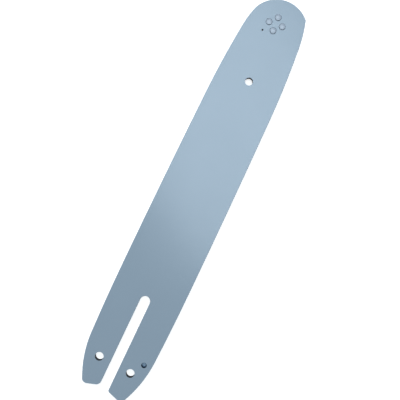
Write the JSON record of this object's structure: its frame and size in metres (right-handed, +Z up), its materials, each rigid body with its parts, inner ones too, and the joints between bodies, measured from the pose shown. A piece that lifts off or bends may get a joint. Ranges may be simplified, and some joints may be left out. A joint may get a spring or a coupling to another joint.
{
  "type": "chainsaw guide bar",
  "caption": "Flat chainsaw guide bar of laid steel plates with a chain groove along its edges, a slotted forked tail and a riveted nose whose toothed wheel turns on rollers.",
  "frame": {"origin": "under the middle of the bar's length and on its long axis, on the surface that it lies on", "axes": "+X along the bar towards its nose, +Y to the left of it, +Z up out of the front face"},
  "size_m": [0.3515, 0.0594, 0.0049],
  "materials": {
    "plate_paint": "satin",
    "rivet_paint": "satin",
    "core_steel": "ground",
    "sprocket_steel": "satin",
    "bearing_steel": "polished"
  },
  "bodies": {
    "bar": {"front_side_plate": "plate_paint", "back_side_plate": "plate_paint", "core_plate": "core_steel", "bearing_hub": "bearing_steel", "nose_rivets": "rivet_paint"},
    "sprocket": {"nose_sprocket": "sprocket_steel"},
    "rollers": {"bearing_roller_01": "bearing_steel", "bearing_roller_02": "bearing_steel", "bearing_roller_03": "bearing_steel", "bearing_roller_04": "bearing_steel", "bearing_roller_05": "bearing_steel", "bearing_roller_06": "bearing_steel", "bearing_roller_07": "bearing_steel", "bearing_roller_08": "bearing_steel", "bearing_roller_09": "bearing_steel", "bearing_roller_10": "bearing_steel", "bearing_roller_11": "bearing_steel", "bearing_roller_12": "bearing_steel", "bearing_roller_13": "bearing_steel", "bearing_roller_14": "bearing_steel", "bearing_roller_15": "bearing_steel", "bearing_roller_16": "bearing_steel", "bearing_roller_17": "bearing_steel", "bearing_roller_18": "bearing_steel", "bearing_roller_19": "bearing_steel", "bearing_roller_20": "bearing_steel", "bearing_roller_21": "bearing_steel"}
  },
  "joints": [
    {"name": "sprocket_spin", "type": "hinge", "parent": "bar", "child": "sprocket", "pos_m": [0.15535, 0.0009, 0.00247], "axis": [0, 0, 1], "continuous": true},
    {"name": "roller_orbit", "type": "hinge", "parent": "bar", "child": "rollers", "pos_m": [0.15535, 0.0009, 0.00247], "axis": [0, 0, 1], "continuous": true}
  ],
  "couplings": [
    {"joint": "roller_orbit", "follows": "sprocket_spin", "ratio": 0.5719}
  ]
}
